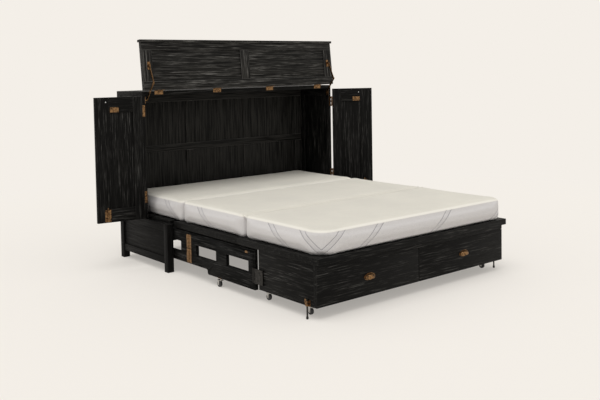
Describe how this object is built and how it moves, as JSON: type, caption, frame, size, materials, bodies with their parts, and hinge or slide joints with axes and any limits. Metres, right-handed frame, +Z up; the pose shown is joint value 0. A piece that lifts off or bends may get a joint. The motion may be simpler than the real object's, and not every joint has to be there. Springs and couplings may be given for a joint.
{
  "type": "cabinet bed",
  "caption": "Cabinet that opens into a bed: hinged lid and side wings, folding platform and gates, wheeled drawer chest and a folding mattress.",
  "frame": {"origin": "centre of the bounding box at floor level", "axes": "+X to the right seen from the foot of the bed, +Y from the foot to the cabinet's back, +Z up"},
  "size_m": [2.2664, 2.056, 1.4998],
  "materials": {
    "charcoal_wood": "wire-brushed near-black stain with an open grain",
    "ticking": "warm ivory knitted ticking, stitched on the sides",
    "antique_brass": "darkened antique brass",
    "caster_steel": "plated steel",
    "wheel_black": "black caster wheel",
    "dark_metal": "blackened strap"
  },
  "bodies": {
    "cabinet": {"base_side_left": "charcoal_wood", "base_side_right": "charcoal_wood", "upper_side_left": "charcoal_wood", "upper_side_right": "charcoal_wood", "back_board": "charcoal_wood", "top_board": "charcoal_wood", "head_platform": "charcoal_wood", "top_hinge_leaves": "antique_brass", "side_hinge_leaves": "antique_brass", "stay_side_brackets": "antique_brass", "gate_pivot_blocks": "dark_metal"},
    "lid": {"lid_board": "charcoal_wood", "lid_hinge_leaves": "antique_brass", "stay_lid_brackets": "antique_brass"},
    "stay_upper": {"stay_upper_arms": "antique_brass"},
    "stay_lower": {"stay_lower_arms": "antique_brass"},
    "wing_left": {"wing_left": "charcoal_wood", "wing_left_brass": "antique_brass"},
    "wing_left_bolt": {"wing_left_bolt": "antique_brass"},
    "wing_right": {"wing_right": "charcoal_wood", "wing_right_brass": "antique_brass"},
    "wing_right_bolt": {"wing_right_bolt": "antique_brass"},
    "gate_rear_left": {"gate_rear_left": "charcoal_wood", "gate_rear_left_hinges": "antique_brass"},
    "gate_front_left": {"gate_front_left": "charcoal_wood", "gate_front_left_fittings": "antique_brass"},
    "gate_rear_right": {"gate_rear_right": "charcoal_wood", "gate_rear_right_hinges": "antique_brass"},
    "gate_front_right": {"gate_front_right": "charcoal_wood", "gate_front_right_fittings": "antique_brass"},
    "chest": {"chest_case": "charcoal_wood", "chest_gate_straps": "dark_metal", "chest_caster_plates": "caster_steel", "floor_stop_plates": "caster_steel"},
    "drawer_left": {"drawer_box_left": "charcoal_wood", "drawer_front_left": "charcoal_wood", "cup_pull_left": "antique_brass"},
    "drawer_right": {"drawer_box_right": "charcoal_wood", "drawer_front_right": "charcoal_wood", "cup_pull_right": "antique_brass"},
    "floor_stop_left": {"floor_stop_left": "caster_steel"},
    "floor_stop_right": {"floor_stop_right": "caster_steel"},
    "platform_foot": {"platform_foot": "charcoal_wood"},
    "platform_middle": {"platform_middle": "charcoal_wood"},
    "mattress_head": {"mattress_head": "ticking"},
    "mattress_middle": {"mattress_middle": "ticking"},
    "mattress_foot": {"mattress_foot": "ticking"},
    "chest_caster_rear_left_fork": {"chest_caster_rear_left_fork": "caster_steel"},
    "chest_caster_rear_left_wheel": {"chest_caster_rear_left_wheel": "wheel_black"},
    "chest_caster_front_left_fork": {"chest_caster_front_left_fork": "caster_steel"},
    "chest_caster_front_left_wheel": {"chest_caster_front_left_wheel": "wheel_black"},
    "chest_caster_rear_right_fork": {"chest_caster_rear_right_fork": "caster_steel"},
    "chest_caster_rear_right_wheel": {"chest_caster_rear_right_wheel": "wheel_black"},
    "chest_caster_front_right_fork": {"chest_caster_front_right_fork": "caster_steel"},
    "chest_caster_front_right_wheel": {"chest_caster_front_right_wheel": "wheel_black"},
    "gate_caster_left_fork": {"gate_caster_left_fork": "caster_steel"},
    "gate_caster_left_wheel": {"gate_caster_left_wheel": "wheel_black"},
    "gate_caster_right_fork": {"gate_caster_right_fork": "caster_steel"},
    "gate_caster_right_wheel": {"gate_caster_right_wheel": "wheel_black"}
  },
  "joints": [
    {"name": "lid_hinge", "type": "hinge", "parent": "cabinet", "child": "lid", "pos_m": [0.02294, 0.6637, 1.1597], "axis": [1, 0, 0], "range_deg": [0, 96]},
    {"name": "stay_upper_pivot", "type": "hinge", "parent": "lid", "child": "stay_upper", "pos_m": [0.02294, 0.63818, 1.32829], "axis": [1, 0, 0], "range_deg": [-41, 0]},
    {"name": "stay_lower_pivot", "type": "hinge", "parent": "cabinet", "child": "stay_lower", "pos_m": [0.02294, 0.675, 1.098], "axis": [1, 0, 0], "range_deg": [0, 91]},
    {"name": "wing_left_hinge", "type": "hinge", "parent": "cabinet", "child": "wing_left", "pos_m": [-0.81306, 0.6634, 0], "axis": [0, 0, 1], "range_deg": [0, 100]},
    {"name": "wing_right_hinge", "type": "hinge", "parent": "cabinet", "child": "wing_right", "pos_m": [0.85894, 0.6634, 0], "axis": [0, 0, 1], "range_deg": [-60, 40]},
    {"name": "wing_left_bolt_slide", "type": "slide", "parent": "wing_left", "child": "wing_left_bolt", "axis": [0, 0, 1], "range_m": [-0.018, 0]},
    {"name": "wing_right_bolt_slide", "type": "slide", "parent": "wing_right", "child": "wing_right_bolt", "axis": [0, 0, 1], "range_m": [-0.018, 0]},
    {"name": "gate_rear_left_fold", "type": "hinge", "parent": "cabinet", "child": "gate_rear_left", "pos_m": [-0.75381, 0.909, 0], "axis": [0, 0, 1], "range_deg": [0, 90]},
    {"name": "frame_fold", "type": "hinge", "parent": "gate_rear_left", "child": "gate_front_left", "pos_m": [-0.75381, 0.2145, 0], "axis": [0, 0, 1], "range_deg": [-180, 0]},
    {"name": "chest_fold", "type": "hinge", "parent": "gate_front_left", "child": "chest", "pos_m": [-0.75381, -0.48, 0], "axis": [0, 0, 1], "range_deg": [0, 90]},
    {"name": "gate_rear_right_fold", "type": "hinge", "parent": "cabinet", "child": "gate_rear_right", "pos_m": [0.79969, 0.909, 0], "axis": [0, 0, 1], "range_deg": [-90, 0]},
    {"name": "gate_front_right_fold", "type": "hinge", "parent": "gate_rear_right", "child": "gate_front_right", "pos_m": [0.79969, 0.2145, 0], "axis": [0, 0, 1], "range_deg": [0, 180]},
    {"name": "platform_foot_fold", "type": "hinge", "parent": "chest", "child": "platform_foot", "pos_m": [0.02294, -1.003, 0.291], "axis": [1, 0, 0], "range_deg": [0, 90]},
    {"name": "platform_middle_fold", "type": "hinge", "parent": "cabinet", "child": "platform_middle", "pos_m": [0.02294, 0.386, 0.291], "axis": [1, 0, 0], "range_deg": [-90, 0]},
    {"name": "drawer_left_slide", "type": "slide", "parent": "chest", "child": "drawer_left", "axis": [0, -1, 0], "range_m": [0, 0.4]},
    {"name": "drawer_right_slide", "type": "slide", "parent": "chest", "child": "drawer_right", "axis": [0, -1, 0], "range_m": [0, 0.4]},
    {"name": "floor_stop_left_slide", "type": "slide", "parent": "chest", "child": "floor_stop_left", "axis": [0, 0, 1], "range_m": [0, 0.03]},
    {"name": "floor_stop_right_slide", "type": "slide", "parent": "chest", "child": "floor_stop_right", "axis": [0, 0, 1], "range_m": [0, 0.03]},
    {"name": "mattress_lift", "type": "slide", "parent": "cabinet", "child": "mattress_head", "axis": [0, -0.5269, 0.8499], "range_m": [0, 1.3306]},
    {"name": "mattress_middle_fold", "type": "hinge", "parent": "mattress_head", "child": "mattress_middle", "pos_m": [0.02294, 0.3263, 0.471], "axis": [-1, 0, 0], "range_deg": [0, 180]},
    {"name": "mattress_foot_fold", "type": "hinge", "parent": "mattress_middle", "child": "mattress_foot", "pos_m": [0.02294, -0.3513, 0.3278], "axis": [1, 0, 0], "range_deg": [0, 180]},
    {"name": "chest_caster_rear_left_swivel", "type": "hinge", "parent": "chest", "child": "chest_caster_rear_left_fork", "pos_m": [-0.69206, -0.542, 0], "axis": [0, 0, 1], "continuous": true},
    {"name": "chest_caster_rear_left_roll", "type": "hinge", "parent": "chest_caster_rear_left_fork", "child": "chest_caster_rear_left_wheel", "pos_m": [-0.69206, -0.527, 0.019], "axis": [1, 0, 0], "continuous": true},
    {"name": "chest_caster_front_left_swivel", "type": "hinge", "parent": "chest", "child": "chest_caster_front_left_fork", "pos_m": [-0.69206, -0.902, 0], "axis": [0, 0, 1], "continuous": true},
    {"name": "chest_caster_front_left_roll", "type": "hinge", "parent": "chest_caster_front_left_fork", "child": "chest_caster_front_left_wheel", "pos_m": [-0.69206, -0.887, 0.019], "axis": [1, 0, 0], "continuous": true},
    {"name": "chest_caster_rear_right_swivel", "type": "hinge", "parent": "chest", "child": "chest_caster_rear_right_fork", "pos_m": [0.73794, -0.542, 0], "axis": [0, 0, 1], "continuous": true},
    {"name": "chest_caster_rear_right_roll", "type": "hinge", "parent": "chest_caster_rear_right_fork", "child": "chest_caster_rear_right_wheel", "pos_m": [0.73794, -0.527, 0.019], "axis": [1, 0, 0], "continuous": true},
    {"name": "chest_caster_front_right_swivel", "type": "hinge", "parent": "chest", "child": "chest_caster_front_right_fork", "pos_m": [0.73794, -0.902, 0], "axis": [0, 0, 1], "continuous": true},
    {"name": "chest_caster_front_right_roll", "type": "hinge", "parent": "chest_caster_front_right_fork", "child": "chest_caster_front_right_wheel", "pos_m": [0.73794, -0.887, 0.019], "axis": [1, 0, 0], "continuous": true},
    {"name": "gate_caster_left_swivel", "type": "hinge", "parent": "gate_front_left", "child": "gate_caster_left_fork", "pos_m": [-0.74206, -0.123, 0], "axis": [0, 0, 1], "continuous": true},
    {"name": "gate_caster_left_roll", "type": "hinge", "parent": "gate_caster_left_fork", "child": "gate_caster_left_wheel", "pos_m": [-0.74206, -0.108, 0.019], "axis": [1, 0, 0], "continuous": true},
    {"name": "gate_caster_right_swivel", "type": "hinge", "parent": "gate_front_right", "child": "gate_caster_right_fork", "pos_m": [0.78794, -0.123, 0], "axis": [0, 0, 1], "continuous": true},
    {"name": "gate_caster_right_roll", "type": "hinge", "parent": "gate_caster_right_fork", "child": "gate_caster_right_wheel", "pos_m": [0.78794, -0.108, 0.019], "axis": [1, 0, 0], "continuous": true}
  ],
  "couplings": [
    {"joint": "gate_rear_left_fold", "follows": "mattress_lift", "rad_per_m": 1.1805},
    {"joint": "chest_fold", "follows": "mattress_lift", "rad_per_m": 1.1805},
    {"joint": "gate_rear_right_fold", "follows": "mattress_lift", "rad_per_m": -1.1805},
    {"joint": "gate_front_right_fold", "follows": "mattress_lift", "rad_per_m": 2.361},
    {"joint": "platform_foot_fold", "follows": "mattress_lift", "rad_per_m": 1.1805},
    {"joint": "platform_middle_fold", "follows": "mattress_lift", "rad_per_m": -1.1805},
    {"joint": "frame_fold", "follows": "mattress_lift", "rad_per_m": -2.361},
    {"joint": "mattress_middle_fold", "follows": "mattress_lift", "rad_per_m": 2.361},
    {"joint": "mattress_foot_fold", "follows": "mattress_lift", "rad_per_m": 2.361},
    {"joint": "stay_upper_pivot", "follows": "lid_hinge", "ratio": -0.4243},
    {"joint": "stay_lower_pivot", "follows": "lid_hinge", "ratio": 0.94439}
  ]
}
